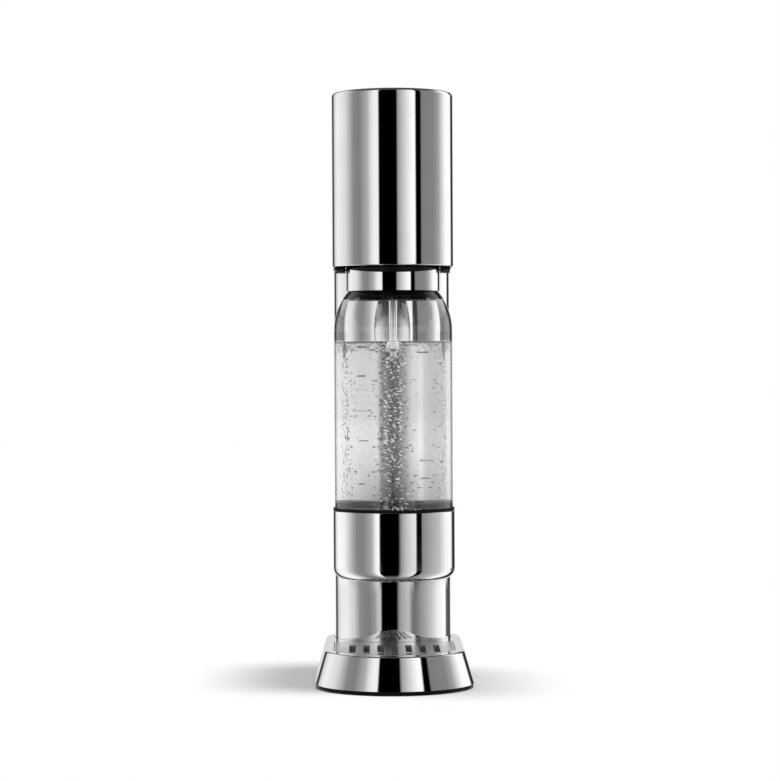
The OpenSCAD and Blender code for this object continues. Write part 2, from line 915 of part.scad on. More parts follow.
// Plunger and valve
module plunger() {
    color(steel)
        translate([0, rear_y, 0]) {
            translate([0, 0, plunger_z]) cylinder(h = plunger_top_z - plunger_z, r = plunger_r);
            translate([0, 0, plunger_head_z]) cylinder(h = plunger_head_t, r = plunger_head_r);
        }
}

module plunger_seal() {
    color(rubber)
        translate([0, rear_y, ring_z])
            rotate_extrude() translate([ring_mid_r, 0]) circle(ring_wire_r);
}

module plunger_spring() {
    color(steel)
        translate([0, rear_y, block_top_z])
            coil_spring(plunger_spring_r, plunger_spring_wire, plunger_spring_l, 3);
}

module valve_stem() {
    color(brass)
        translate([0, rear_y, stem_top_z - stem_l]) cylinder(h = stem_l, r = stem_r);
}

// Half of the cylinder's outline, drawn in by d, with a neck of radius neck up to top_z
module cylinder_section(d, neck, top_z) {
    shoulder_z = cylinder_top_z - shoulder_h;
    rounded_bottom(cylinder_r - d, cylinder_z + d, shoulder_z, cylinder_foot_r - d);
    intersection() {
        translate([cylinder_r - shoulder_r, shoulder_z]) circle(shoulder_r - d);
        translate([0, shoulder_z - cut]) square([cylinder_r, shoulder_h]);
    }
    translate([0, shoulder_z - cut]) square([neck, top_z - shoulder_z + cut]);
}

module gas_cylinder() {
    color("lightslategray")
        translate([0, rear_y, 0])
            rotate_extrude()
                difference() {
                    cylinder_section(0, cylinder_neck_r, cylinder_top_z);
                    cylinder_section(cylinder_t, cylinder_bore_r, cylinder_top_z + cut);
                }
}

module cylinder_valve() {
    color(brass)
        translate([0, rear_y, 0])
            difference() {
                union() {
                    translate([0, 0, cylinder_top_z]) cylinder(h = valve_hex_h, r = valve_hex_r, $fn = 6);
                    translate([0, 0, cylinder_top_z]) cylinder(h = valve_h, r = valve_r);
                    translate([0, 0, cylinder_top_z - valve_shank_l])
                        cylinder(h = valve_shank_l + cut, r = cylinder_bore_r - run_gap);
                }
                translate([0, 0, stem_top_z - stem_l - stem_room])
                    cylinder(h = stem_l + stem_room, r = stem_r + slip_gap);
            }
}

module cylinder_seal() {
    color(rubber)
        translate([0, rear_y, 0])
            tube(
                socket_r - rest_gap, chamber_r + rest_gap,
                cylinder_seal_z, cylinder_seal_z + cylinder_seal_t
            );
}

module valve_block() {
    color("silver")
        translate([0, rear_y, 0])
            difference() {
                union() {
                    translate([0, 0, block_z]) cylinder(h = block_h, r = block_r);
                    translate([-block_flange_x, -block_flange_w, block_z])
                        cube([2 * block_flange_x, 2 * block_flange_w, block_flange_t]);
                }
                translate([0, 0, block_z - cut]) cylinder(h = socket_top_z - block_z + cut, r = socket_r);
                translate([0, 0, block_z]) cylinder(h = chamber_top_z - block_z, r = chamber_r);
                translate([0, 0, block_z]) cylinder(h = block_h + cut, r = plunger_r + run_gap);
                translate([0, 0, ring_z - ring_wire_r - slip_gap])
                    cylinder(h = 2 * (ring_wire_r + slip_gap), r = ring_mid_r + ring_wire_r + slip_gap);
                translate([0, 0, port_z]) rod_x(relief_r + slip_gap, port_from, block_d);
                translate([0, 0, port_z]) rod_x(outlet_r + slip_gap, -block_d, -port_from);
                for (s = [-1, 1])
                    translate([s * block_screw_x, 0, block_z - cut])
                        cylinder(h = block_flange_t + 2 * cut, r = screw_hole_r);
            }
}

module block_screws() {
    color(steel)
        for (s = [-1, 1])
            translate([s * block_screw_x, rear_y, block_z + block_flange_t])
                mirror([0, 0, 1]) screw(block_flange_t + shelf_t - cut);
}

// Safety valve
module relief_body() {
    color(brass)
        translate([0, rear_y, port_z])
            difference() {
                rod_x(relief_r, relief_x, relief_x + relief_l);
                rod_x(relief_bore_r, relief_x + relief_floor_t, relief_x + relief_l + cut);
                rod_x(relief_ball_r / 2, relief_x - cut, relief_x + relief_l);
            }
}

module relief_ball() {
    color(steel) translate([relief_ball_x, rear_y, port_z]) sphere(relief_ball_r);
}

module relief_spring() {
    from_x = relief_ball_x + relief_ball_r;
    color(steel)
        translate([from_x, rear_y, port_z])
            rotate([0, 90, 0]) coil_spring(relief_spring_r, relief_spring_wire, relief_cap_x - from_x, 5);
}

module relief_cap() {
    color(brass)
        translate([0, rear_y, port_z])
            difference() {
                rod_x(relief_bore_r - slip_gap, relief_cap_x, relief_cap_x + relief_cap_t);
                rod_x(relief_vent_r, relief_cap_x - cut, relief_cap_x + relief_cap_t + cut);
            }
}

// Way of the gas to the bottle
module outlet_fitting() {
    color(brass)
        translate([0, rear_y, port_z]) {
            rod_x(outlet_r, outlet_x, -port_from - rest_gap);
            translate([outlet_x, 0, 0]) sphere(outlet_r);
            translate([outlet_x, 0, 0]) rotate([90, 0, 0]) cylinder(h = outlet_nose_l, r = hose_r);
        }
}

module gas_hose() {
    start = hose_from - [0, hose_d, 0];
    end = hose_to + [0, 0, hose_d];
    bend = [start, start - [0, hose_reach, 0], end + [0, 0, hose_reach], end];
    path = concat([hose_from], [for (i = [0 : hose_steps]) bezier(bend, i / hose_steps)], [hose_to]);
    color(rubber) swept_tube(path, hose_r, hose_sides, [1, 0, 0]);
}

module inlet_fitting() {
    color(brass)
        translate([0, front_y, carrier_top_z])
            difference() {
                union() {
                    cylinder(h = inlet_flange_t, r = inlet_flange_r);
                    cylinder(h = inlet_z - carrier_top_z, r = hose_r);
                }
                for (s = [-1, 1])
                    translate([s * inlet_screw_x, 0, -cut])
                        cylinder(h = inlet_flange_t + 2 * cut, r = screw_hole_r);
            }
}

module inlet_screws() {
    color(steel)
        for (s = [-1, 1])
            translate([s * inlet_screw_x, front_y, carrier_top_z + inlet_flange_t])
                mirror([0, 0, 1])
                    screw(inlet_flange_t + carrier_roof_t - inlet_screw_floor - screw_tip_gap);
}

// Bottle holder
module neck_collar() {
    color(steel)
        translate([0, front_y, 0])
            difference() {
                tube(collar_r, collar_in_r, collar_z, pivot_z + ear_r);
                translate([0, -collar_r, collar_z + collar_h])
                    rotate([collar_slope, 0, 0])
                        translate([-collar_d, -collar_d, 0]) cube([2 * collar_d, 4 * collar_d, collar_d]);
                translate([0, 0, pivot_z]) rod_x(tilt_pin_r + fit_gap, -collar_d, collar_d);
            }
}

module nozzle_carrier() {
    color(black)
        difference() {
            translate([0, front_y, 0])
                difference() {
                    union() {
                        translate([0, 0, carrier_z])
                            cylinder(h = carrier_step_z - carrier_z, r = carrier_r);
                        translate([0, 0, carrier_z])
                            cylinder(h = carrier_top_z - carrier_z, r = carrier_top_r);
                        translate([0, 0, pivot_z]) intersection() {
                            rod_x(tilt_pin_r + carrier_boss_w, -carrier_r, carrier_r);
                            translate([0, 0, -ear_r]) cylinder(h = 2 * ear_r, r = carrier_r);
                        }
                    }
                    translate([0, 0, carrier_z - cut])
                        cylinder(h = ring_bore_top_z - carrier_z + cut, r = ring_bore_r);
                    translate([0, 0, carrier_z]) cylinder(h = seal_z + seal_t - carrier_z, r = neck_bore_r);
                    translate([0, 0, carrier_z]) cylinder(h = carrier_top_z, r = nozzle_r + run_gap);
                    for (s = [-1, 1])
                        translate([s * inlet_screw_x, 0, seal_z + seal_t + inlet_screw_floor])
                            cylinder(h = carrier_roof_t, r = screw_hole_r);
                }
            tilt_pin_bores(tilt_pin_r + run_gap);
        }
}

module mouth_seal() {
    color(rubber)
        translate([0, front_y, 0]) tube(neck_bore_r - slip_gap, seal_in_r, seal_z, seal_z + seal_t);
}

module nozzle_tube() {
    color(steel)
        translate([0, front_y, 0])
            tube(nozzle_r, nozzle_bore_r, nozzle_end_z + nozzle_tip_h, carrier_top_z);
}

module nozzle_tip() {
    tip_l = nozzle_tip_h + nozzle_shank_h;
    color(steel)
        translate([0, front_y, nozzle_end_z])
            difference() {
                union() {
                    cylinder(h = nozzle_tip_h, r = nozzle_tip_r);
                    translate([0, 0, nozzle_tip_h - nozzle_taper_h])
                        cylinder(h = nozzle_taper_h, r1 = nozzle_tip_r, r2 = nozzle_r);
                    cylinder(h = tip_l, r = nozzle_bore_r - run_gap);
                }
                translate([0, 0, -cut]) cylinder(h = tip_l + 2 * cut, r = nozzle_jet_r);
            }
}

// Bottle
module bottle_section(r, foot_z, edge, top_r, top_z) {
    rounded_bottom(r, foot_z, dome_z, edge);
    intersection() {
        translate([0, dome_z]) circle(r);
        translate([0, foot_z + edge]) square([r, top_z]);
    }
    translate([0, dome_z]) square([top_r, top_z - dome_z]);
}

module bottle_body() {
    color("lightblue", 0.4)
        translate([0, front_y, 0])
            rotate_extrude()
                difference() {
                    union() {
                        bottle_section(bottle_r, bottle_foot_z, foot_edge_r, neck_r, mouth_z);
                        translate([0, neck_ring_z]) square([neck_ring_r, neck_ring_t]);
                    }
                    bottle_section(
                        bottle_in_r, bottle_foot_z + bottle_t, foot_in_edge_r, neck_in_r, mouth_z + cut
                    );
                }
}

module bottle_cup() {
    lip_r = cup_t / 2;
    color(steel)
        translate([0, front_y, 0])
            rotate_extrude() {
                difference() {
                    rounded_bottom(cup_r, bottle_z, cup_top_z - lip_r, cup_edge_r);
                    rounded_bottom(cup_in_r, bottle_z + cup_t, cup_top_z, cup_edge_r - cup_t);
                }
                translate([cup_r - lip_r, cup_top_z - lip_r]) circle(lip_r);
            }
}

module cup_ring() {
    color(rubber)
        translate([0, front_y, 0])
            tube(cup_r - rest_gap, bottle_r + run_gap, cup_top_z, cup_top_z + cup_ring_t);
}

foot_ring();
base_plate();
base_screws();
base_skirt();
drip_tray();
drip_grille();
column_shell();
rear_cover();
chassis();
cylinder_seat();
head_frame();
chassis_screws();
head_shell();
head_floor();
floor_screws();
tilt_pins();
lever_cap();
lever_arm();
lever_pin();
lever_spring();
plunger();
plunger_seal();
plunger_spring();
valve_stem();
gas_cylinder();
cylinder_valve();
cylinder_seal();
valve_block();
block_screws();
relief_body();
relief_ball();
relief_spring();
relief_cap();
outlet_fitting();
gas_hose();
inlet_fitting();
inlet_screws();
neck_collar();
nozzle_carrier();
mouth_seal();
nozzle_tube();
nozzle_tip();
bottle_body();
bottle_cup();
cup_ring();
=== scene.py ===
"""Looks of the sparkling water maker: finishes, water, bubbles, gas hose, studio and camera."""
import json
import math
import random

import bmesh
import bpy
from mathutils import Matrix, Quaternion, Vector


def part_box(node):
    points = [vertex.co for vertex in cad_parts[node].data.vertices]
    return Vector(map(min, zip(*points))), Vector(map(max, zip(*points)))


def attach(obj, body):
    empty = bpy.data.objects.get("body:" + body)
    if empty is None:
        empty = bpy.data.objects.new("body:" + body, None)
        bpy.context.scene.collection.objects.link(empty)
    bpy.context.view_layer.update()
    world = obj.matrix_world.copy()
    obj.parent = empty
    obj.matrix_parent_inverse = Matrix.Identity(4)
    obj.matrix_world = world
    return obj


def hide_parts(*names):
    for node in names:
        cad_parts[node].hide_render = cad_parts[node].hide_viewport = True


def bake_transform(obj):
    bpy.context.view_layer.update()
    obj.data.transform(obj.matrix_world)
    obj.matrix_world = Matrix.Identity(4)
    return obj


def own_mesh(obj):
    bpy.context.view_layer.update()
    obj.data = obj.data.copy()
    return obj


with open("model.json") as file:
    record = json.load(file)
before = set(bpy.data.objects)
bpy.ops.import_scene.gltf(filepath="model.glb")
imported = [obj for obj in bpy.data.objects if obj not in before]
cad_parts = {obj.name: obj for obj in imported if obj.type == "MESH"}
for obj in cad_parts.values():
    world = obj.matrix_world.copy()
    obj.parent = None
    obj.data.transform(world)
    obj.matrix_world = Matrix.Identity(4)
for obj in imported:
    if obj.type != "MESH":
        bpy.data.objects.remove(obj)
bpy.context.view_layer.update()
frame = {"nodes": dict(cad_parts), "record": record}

MM = 0.001

# Camera of the photograph: sizes in its pixels, places in metres
PHOTO_W = 780
FOCAL_PIXELS = 2627
PIXEL = 0.71 * MM            # at the bottle's axis
EYE_DISTANCE = 1.865         # from the bottle's axis
EYE_HEIGHT = 0.225
EYE_LEFT = 0.0214
AIM_LEFT = 3.4 * PIXEL
AIM_BELOW_EYE = 20.5 * PIXEL
ROLL = math.radians(-0.28)

# Bottle and water
BOTTLE_WALL = 1.6 * MM
FOOT_EDGE = 5.6 * MM         # rounding inside the bottle's foot
WATER_SINK = 0.08 * MM       # how far the water reaches into the wall, so that no air shows between
WATER_LEVEL = 0.2446
MENISCUS = 0.5 * MM
MENISCUS_REACH = 1.8 * MM

bottle_low, bottle_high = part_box("bottle_body")
bottle_axis = (bottle_low.y + bottle_high.y) / 2
bottle_r = (bottle_high.x - bottle_low.x) / 2
water_r = bottle_r - BOTTLE_WALL + WATER_SINK
water_floor = bottle_low.z + BOTTLE_WALL - WATER_SINK
tube_low, tube_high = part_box("nozzle_tube")
nozzle_r = (tube_high.x - tube_low.x) / 2


class Nodes:
    """A node tree being made: adds nodes, joins them and does sums."""

    def __init__(self, tree):
        self.tree = tree

    def add(self, kind, **settings):
        node = self.tree.nodes.new(kind)
        for name, value in settings.items():
            setattr(node, name, value)
        return node

    def put(self, value, socket):
        """Joins an output to a socket, or sets the socket to a plain value."""
        if isinstance(value, bpy.types.NodeSocket):
            self.tree.links.new(value, socket)
        else:
            socket.default_value = value

    def calc(self, operation, *values):
        node = self.add("ShaderNodeMath", operation=operation)
        for value, socket in zip(values, node.inputs):
            self.put(value, socket)
        return node.outputs[0]

    def mix(self, share, first, second):
        """A number that goes from first to second as share goes from 0 to 1."""
        node = self.add("ShaderNodeMix", data_type="FLOAT")
        self.put(share, node.inputs["Factor"])
        self.put(first, node.inputs["A"])
        self.put(second, node.inputs["B"])
        return node.outputs["Result"]

    def fade(self, value, start, end, low=0.0, high=1.0, kind="SMOOTHSTEP"):
        """Goes from low to high while value goes from start to end, and stays there outside."""
        node = self.add("ShaderNodeMapRange", interpolation_type=kind)
        numbers = (value, start, end, low, high)
        for number, name in zip(numbers, ("Value", "From Min", "From Max", "To Min", "To Max")):
            self.put(number, node.inputs[name])
        return node.outputs["Result"]

    def ramp(self, value, stops):
        """Straight lines between stops, which are pairs of a place from 0 to 1 and a grey level."""
        node = self.add("ShaderNodeValToRGB")
        elements = node.color_ramp.elements
        elements[0].position = stops[0][0]
        elements[1].position = stops[-1][0]
        for place, _ in stops[1:-1]:
            elements.new(place)
        for element, (_, level) in zip(elements, stops):
            element.color = (level, level, level, 1.0)
        self.put(value, node.inputs["Fac"])
        return node.outputs["Color"]


# Finishes
class Finish(Nodes):
    """A material with one main shader, whose patterns lie in the machine's own frame."""

    def __init__(self, name, colour, metallic=0.0, roughness=0.5):
        self.material = bpy.data.materials.new(name)
        self.material.use_nodes = True
        super().__init__(self.material.node_tree)
        self.shader = self.tree.nodes["Principled BSDF"]
        self.set("Base Color", (*colour, 1.0))
        self.set("Metallic", metallic)
        self.set("Roughness", roughness)
        self.place = self.add("ShaderNodeTexCoord").outputs["Object"]
        self.last_bump = None

    def set(self, socket, value):
        self.shader.inputs[socket].default_value = value

    def grain(self, size, detail=3.0, stretch=(1, 1, 1)):
        """Noise whose grains are about size metres across, longer along an axis by its stretch."""
        mapping = self.add("ShaderNodeMapping")
        mapping.inputs["Scale"].default_value = [1 / (size * s) for s in stretch]
        self.put(self.place, mapping.inputs["Vector"])
        noise = self.add("ShaderNodeTexNoise")
        noise.inputs["Scale"].default_value = 1.0
        noise.inputs["Detail"].default_value = detail
        self.put(mapping.outputs["Vector"], noise.inputs["Vector"])
        return noise.outputs["Fac"]

    def spread(self, grain, low, high):
        """Stretches the middle of a noise over the numbers from low to high."""
        return self.fade(grain, 0.35, 0.65, low, high, kind="LINEAR")

    def rough(self, grain, low, high):
        self.put(self.spread(grain, low, high), self.shader.inputs["Roughness"])

    def tint(self, grain, dark, light):
        node = self.add("ShaderNodeMix", data_type="RGBA")
        self.put(self.spread(grain, 0.0, 1.0), node.inputs["Factor"])
        self.put((*dark, 1.0), node.inputs["A"])
        self.put((*light, 1.0), node.inputs["B"])
        self.put(node.outputs["Result"], self.shader.inputs["Base Color"])

    def bump(self, grain, height, strength=1.0):
        """Raises the surface by up to height metres; a later bump adds to the earlier ones."""
        node = self.add("ShaderNodeBump")
        self.put(height, node.inputs["Distance"])
        self.put(strength, node.inputs["Strength"])
        self.put(grain, node.inputs["Height"])
        if self.last_bump:
            self.put(self.last_bump, node.inputs["Normal"])
        self.last_bump = node.outputs["Normal"]
        self.put(self.last_bump, self.shader.inputs["Normal"])


def polished_steel():
    finish = Finish("polished_steel", (0.90, 0.90, 0.905), metallic=1.0, roughness=0.03)
    finish.rough(finish.grain(60 * MM, detail=5), 0.015, 0.05)
    finish.tint(finish.grain(25 * MM), (0.88, 0.88, 0.885), (0.92, 0.92, 0.925))
    finish.bump(finish.grain(14 * MM, stretch=(1, 1, 6)), 0.004 * MM, strength=0.5)
    return finish.material


def satin_steel():
    finish = Finish("satin_steel", (0.89, 0.89, 0.90), metallic=1.0, roughness=0.34)
    lines = finish.grain(0.25 * MM, detail=4, stretch=(60, 1, 1))
    finish.rough(finish.grain(30 * MM, detail=5), 0.29, 0.39)
    finish.tint(lines, (0.86, 0.86, 0.87), (0.92, 0.92, 0.93))
    finish.bump(lines, 0.004 * MM, strength=0.5)
    return finish.material


def plain_steel():
    finish = Finish("plain_steel", (0.70, 0.70, 0.72), metallic=1.0, roughness=0.16)
    rings = finish.grain(0.3 * MM, detail=3, stretch=(40, 40, 1))
    finish.rough(finish.grain(8 * MM, detail=5), 0.09, 0.2)
    finish.tint(rings, (0.66, 0.66, 0.68), (0.74, 0.74, 0.76))
    finish.bump(rings, 0.004 * MM, strength=0.4)
    return finish.material


def bright_steel():
    """Nozzle: drawn tube, polished along its length."""
    finish = Finish("bright_steel", (0.93, 0.93, 0.935), metallic=1.0, roughness=0.05)
    finish.rough(finish.grain(6 * MM, detail=5), 0.03, 0.08)
    finish.tint(finish.grain(3 * MM), (0.90, 0.90, 0.905), (0.95, 0.95, 0.955))
    finish.bump(finish.grain(1.5 * MM, stretch=(1, 1, 12)), 0.002 * MM, strength=0.4)
    return finish.material


def black_gloss():
    """Moulded black with a smooth skin."""
    finish = Finish("black_gloss", (0.005, 0.005, 0.0055), roughness=0.08)
    finish.rough(finish.grain(12 * MM, detail=5), 0.05, 0.12)
    finish.tint(finish.grain(9 * MM), (0.004, 0.004, 0.0045), (0.007, 0.007, 0.0075))
    finish.bump(finish.grain(4 * MM), 0.004 * MM, strength=0.4)
    return finish.material


def black_plastic():
    finish = Finish("black_plastic", (0.005, 0.005, 0.0055), roughness=0.42)
    finish.set("Specular IOR Level", 0.3)
    finish.rough(finish.grain(20 * MM, detail=5), 0.36, 0.5)
    finish.tint(finish.grain(9 * MM), (0.004, 0.004, 0.0045), (0.007, 0.007, 0.0075))
    finish.bump(finish.grain(0.35 * MM, detail=4), 0.03 * MM, strength=0.5)
    return finish.material


def rubber():
    finish = Finish("rubber", (0.006, 0.006, 0.006), roughness=0.72)
    finish.set("Specular IOR Level", 0.2)
    finish.rough(finish.grain(6 * MM, detail=5), 0.62, 0.82)
    finish.tint(finish.grain(3 * MM), (0.005, 0.005, 0.005), (0.009, 0.009, 0.009))
    finish.bump(finish.grain(0.5 * MM, detail=4), 0.05 * MM, strength=0.6)
    return finish.material


def brass():
    finish = Finish("brass", (0.70, 0.50, 0.20), metallic=1.0, roughness=0.25)
    finish.rough(finish.grain(5 * MM, detail=5), 0.18, 0.34)
    finish.tint(finish.grain(4 * MM), (0.62, 0.43, 0.16), (0.76, 0.56, 0.25))
    finish.bump(finish.grain(0.3 * MM, stretch=(30, 30, 1)), 0.006 * MM, strength=0.5)
    return finish.material


def block_metal():
    finish = Finish("block_metal", (0.62, 0.62, 0.63), metallic=1.0, roughness=0.45)
    finish.rough(finish.grain(6 * MM, detail=5), 0.36, 0.55)
    finish.tint(finish.grain(7 * MM), (0.56, 0.56, 0.57), (0.68, 0.68, 0.69))
    finish.bump(finish.grain(0.6 * MM, detail=5), 0.04 * MM, strength=0.6)
    return finish.material


def cylinder_metal():
    finish = Finish("cylinder_metal", (0.60, 0.62, 0.64), metallic=1.0, roughness=0.34)
    finish.rough(finish.grain(18 * MM, detail=6), 0.26, 0.46)
    finish.tint(finish.grain(22 * MM, detail=6), (0.54, 0.56, 0.58), (0.66, 0.68, 0.70))
    finish.bump(finish.grain(0.5 * MM, detail=4, stretch=(1, 1, 60)), 0.01 * MM, strength=0.5)
    return finish.material


def clear_plastic():
    finish = Finish("clear_plastic", (0.99, 0.99, 0.99), roughness=0.01)
    finish.set("Transmission Weight", 1.0)
    finish.set("IOR", 1.5)
    finish.rough(finish.grain(40 * MM, detail=5), 0.0, 0.012)
    finish.bump(finish.grain(16 * MM, stretch=(1, 1, 5)), 0.001 * MM, strength=0.5)
    return finish.material


def clear_water():
    finish = Finish("clear_water", (0.985, 0.985, 0.985), roughness=0.0)
    finish.set("Transmission Weight", 1.0)
    finish.set("IOR", 1.333)
    finish.tint(finish.grain(18 * MM, detail=6), (0.97, 0.97, 0.97), (0.995, 0.995, 0.995))
    finish.bump(finish.grain(9 * MM), 0.0005 * MM, strength=0.4)
    return finish.material


def air_bubble():
    """On the wall: clear, with a dark rim."""
    finish = Finish("air_bubble", (1.0, 1.0, 1.0), roughness=0.0)
    finish.set("Transmission Weight", 1.0)
    finish.set("IOR", 1 / 1.333)
    finish.tint(finish.grain(20 * MM), (0.98, 0.98, 0.98), (1.0, 1.0, 1.0))
    return finish.material


def silver_bubble():
    """In the middle of the water: seen from all round, it throws the light back."""
    finish = Finish("silver_bubble", (0.97, 0.97, 0.97), metallic=1.0, roughness=0.08)
    finish.rough(finish.grain(4 * MM), 0.05, 0.12)
    finish.tint(finish.grain(20 * MM), (0.95, 0.95, 0.95), (1.0, 1.0, 1.0))
    return finish.material


def braided_hose():
    finish = Finish("braided_hose", (0.02, 0.02, 0.021), roughness=0.55)
    braid = finish.grain(0.6 * MM, detail=2, stretch=(1, 2.5, 2.5))
    finish.rough(braid, 0.45, 0.65)
    finish.tint(braid, (0.014, 0.014, 0.015), (0.034, 0.034, 0.036))
    finish.bump(braid, 0.12 * MM, strength=0.7)
    return finish.material


FINISHES = {
    "polished_steel": polished_steel(),
    "satin_steel": satin_steel(),
    "plain_steel": plain_steel(),
    "black_plastic": black_plastic(),
    "rubber": rubber(),
    "brass": brass(),
    "block_metal": block_metal(),
    "cylinder_metal": cylinder_metal(),
    "clear_plastic": clear_plastic(),
}
OWN_FINISHES = {
    "head_floor": black_gloss(),
    "nozzle_tube": bright_steel(),
}


def dress_cad_nodes():
    """Gives each CAD node its own finish, or else that of its material slot in the record."""
    for part in frame["record"]["subparts"]:
        mesh = frame["nodes"][part["node"]].data
        mesh.materials.clear()
        mesh.materials.append(OWN_FINISHES.get(part["node"], FINISHES[part["material_slot"]]))


# Meshes made here
def add_mesh(name, points, faces, material, sharp_angle=math.radians(40)):
    mesh = bpy.data.meshes.new(name)
    mesh.from_pydata(points, [], faces)
    mesh.materials.append(material)
    mesh.shade_smooth()
    mesh.set_sharp_from_angle(angle=sharp_angle)
    piece = bpy.data.objects.new(name, mesh)
    bpy.context.scene.collection.objects.link(piece)
    return piece


def ring_points(profile, axis_y, segments):
    """Points of a profile of (radius, height) pairs turned about an upright axis."""
    turns = [math.tau * k / segments for k in range(segments)]
    return [
        (radius * math.cos(turn), axis_y + radius * math.sin(turn), height)
        for radius, height in profile
        for turn in turns
    ]


def band_faces(rings, segments, closed=False):
    """Faces between each ring of points and the next, and from the last to the first if closed."""
    faces = []
    for ring in range(rings if closed else rings - 1):
        after = (ring + 1) % rings
        for k in range(segments):
            side = (k + 1) % segments
            faces.append((
                ring * segments + k,
                ring * segments + side,
                after * segments + side,
                after * segments + k,
            ))
    return faces


def capped_faces(rings, segments):
    """Faces between the rings, and one across each end."""
    faces = band_faces(rings, segments)
    faces.append(tuple(reversed(range(segments))))
    faces.append(tuple(range((rings - 1) * segments, rings * segments)))
    return faces


# Water
WATER_SEGMENTS = 192
EDGE_STEPS = 8
WALL_STEPS = 80              # many, so that the foot's curve doesn't bend the wall's shading
SURFACE_STEPS = 40


def foot_profile():
    """From the floor's rim round the foot's edge to the wall."""
    profile = []
    for i in range(EDGE_STEPS + 1):
        turn = math.pi / 2 * i / EDGE_STEPS
        radius = water_r - FOOT_EDGE * (1 - math.sin(turn))
        profile.append((radius, water_floor + FOOT_EDGE * (1 - math.cos(turn))))
    return profile


def wall_profile():
    low = water_floor + FOOT_EDGE
    span = WATER_LEVEL + MENISCUS - low
    return [(water_r, low + span * i / WALL_STEPS) for i in range(1, WALL_STEPS)]


def surface_profile():
    """From the wall to the nozzle; the water climbs a little at both."""
    inner_r = nozzle_r / 2
    profile = []
    for i in range(SURFACE_STEPS + 1):
        share = i / SURFACE_STEPS
        radius = water_r + (inner_r - water_r) * share * share * (3 - 2 * share)
        at_wall = math.exp((radius - water_r) / MENISCUS_REACH)
        at_nozzle = math.exp((inner_r - radius) / MENISCUS_REACH)
        profile.append((radius, WATER_LEVEL + MENISCUS * (at_wall + at_nozzle / 2)))
    return profile


def make_water():
    profile = foot_profile() + wall_profile() + surface_profile()
    points = ring_points(profile, bottle_axis, WATER_SEGMENTS)
    faces = capped_faces(len(profile), WATER_SEGMENTS)
    piece = add_mesh("bottle_water", points, faces, clear_water())
    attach(piece, "bottle_unit")


# Bubbles
RISING = 800
ON_WALL = 80
UNDER_SURFACE = 250
BUBBLE_LEAST = 0.3 * MM
BUBBLE_MOST = 0.8 * MM
BUBBLE_FINE = 0.4 * MM       # bubbles above this size get a finer mesh
RISING_SPREAD = 7 * MM
TOWARDS_FRONT = math.radians(-90)
FRONT_HALF = math.radians(90)    # bubbles in the water are in its front half
WALL_HALF = math.radians(60)     # the wall's bubbles sit within this of the front
WALL_GAP = 0.1 * MM
FOAM_DEPTH = 6 * MM
FOAM_INSIDE = 0.2                # share of the water's surface, round the nozzle, without foam
BUBBLE_GAP = 0.3 * MM
SMALL_SHARE = 2.5                # the higher, the more of the bubbles are small
BUBBLE_SEED = 7


def ball_mesh(subdivisions):
    """Corners and sides of a ball of radius 1."""
    ball = bmesh.new()
    bmesh.ops.create_icosphere(ball, subdivisions=subdivisions, radius=1.0)
    corners = [v.co.copy() for v in ball.verts]
    sides = [[v.index for v in f.verts] for f in ball.faces]
    ball.free()
    return corners, sides


def place_bubble(rng, kind):
    """Centre and radius of a bubble; small ones are far more common than large ones."""
    size = BUBBLE_LEAST + (BUBBLE_MOST - BUBBLE_LEAST) * rng.random() ** SMALL_SHARE
    half_turn = WALL_HALF if kind == "wall" else FRONT_HALF
    turn = TOWARDS_FRONT + rng.uniform(-half_turn, half_turn)
    height = rng.uniform(water_floor + FOOT_EDGE + size, WATER_LEVEL - 2 * size)
    wall_r = water_r - WATER_SINK - size - WALL_GAP
    radius = wall_r
    if kind == "rising":
        radius = abs(rng.gauss(0, RISING_SPREAD))
    elif kind == "foam":
        radius = wall_r * math.sqrt(rng.uniform(FOAM_INSIDE, 1))
        height = WATER_LEVEL - size - BUBBLE_GAP - FOAM_DEPTH * rng.random() ** 2
    radius = min(max(radius, nozzle_r + size + BUBBLE_GAP), wall_r)
    return Vector((radius * math.cos(turn), bottle_axis + radius * math.sin(turn), height)), size


def make_bubbles(name, kinds, material):
    rng = random.Random(BUBBLE_SEED)
    coarse = ball_mesh(subdivisions=1)
    fine = ball_mesh(subdivisions=2)
    points = []
    faces = []
    for kind in kinds:
        centre, size = place_bubble(rng, kind)
        corners, sides = fine if size > BUBBLE_FINE else coarse
        first = len(points)
        points.extend(centre + size * corner for corner in corners)
        faces.extend([first + i for i in side] for side in sides)
    piece = add_mesh(name, points, faces, material, sharp_angle=math.pi)
    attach(piece, "bottle_unit")


# Black ring round the bottle's shoulder, on which the collar sits
RING_T = 0.35 * MM
RING_GAP = 0.05 * MM
RING_REACH = 5.2 * MM        # below the collar
RING_HIDDEN = 1 * MM         # inside the collar
RING_STEPS = 10
RING_SEGMENTS = 160


def bottle_outside(height):
    """Outer radius of the bottle at a height, felt for from the left."""
    start = Vector((-2 * bottle_r, bottle_axis, height))
    found, place, _, _ = frame["nodes"]["bottle_body"].ray_cast(start, Vector((1, 0, 0)))
    assert found
    return abs(place.x)


def make_shoulder_ring():
    collar_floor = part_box("neck_collar")[0].z
    low = collar_floor - RING_REACH
    span = RING_REACH + RING_HIDDEN
    inside = []
    for i in range(RING_STEPS + 1):
        height = low + span * i / RING_STEPS
        inside.append((bottle_outside(height) + RING_GAP, height))
    outside = [(radius + RING_T, height) for radius, height in reversed(inside)]
    profile = inside + outside
    points = ring_points(profile, bottle_axis, RING_SEGMENTS)
    faces = band_faces(len(profile), RING_SEGMENTS, closed=True)
    faces = [tuple(reversed(face)) for face in faces]
    piece = add_mesh("shoulder_ring", points, faces, black_gloss())
    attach(piece, "bottle_unit")


# Gas hose: a smooth tube in place of the CAD one
HOSE_R = 3 * MM
HOSE_REACH = 40 * MM
HOSE_STEPS = 48
HOSE_SIDES = 20


